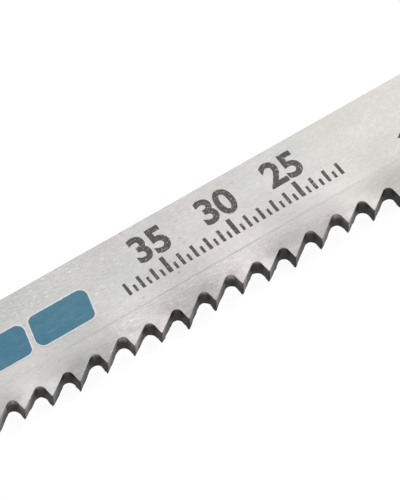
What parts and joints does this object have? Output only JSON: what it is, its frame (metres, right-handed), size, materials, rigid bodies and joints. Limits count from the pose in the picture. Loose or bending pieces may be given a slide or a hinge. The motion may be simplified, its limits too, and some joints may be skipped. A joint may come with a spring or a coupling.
{
  "type": "jigsaw blade",
  "caption": "Flat jigsaw blade for metal with a T-shank, a wavy-set toothed edge welded to a spring-steel backing strip and a sloped toe.",
  "frame": {"origin": "bottom centre of the box around the blade: the middle of its length, on the shank's centre line, at the surface that the lowest set teeth touch", "axes": "blade lying on its side: +X from the shank's end to the toe, +Y from the teeth to the back edge, +Z out of the printed upper face"},
  "size_m": [0.092, 0.0096, 0.0017],
  "materials": {
    "backing_steel": "satin, ground along the length, with fine scratches",
    "weld_steel": "dull hairline, darker than both strips",
    "edge_steel": "satin faces, darker milled gullets and flanks",
    "blue_print": "thin worn matt ink on the upper face",
    "dark_print": "thin worn matt marking on the upper face"
  },
  "bodies": {
    "root": {"back_strip": "backing_steel", "weld_seam": "weld_steel", "tooth_edge": "edge_steel"}
  },
  "joints": []
}
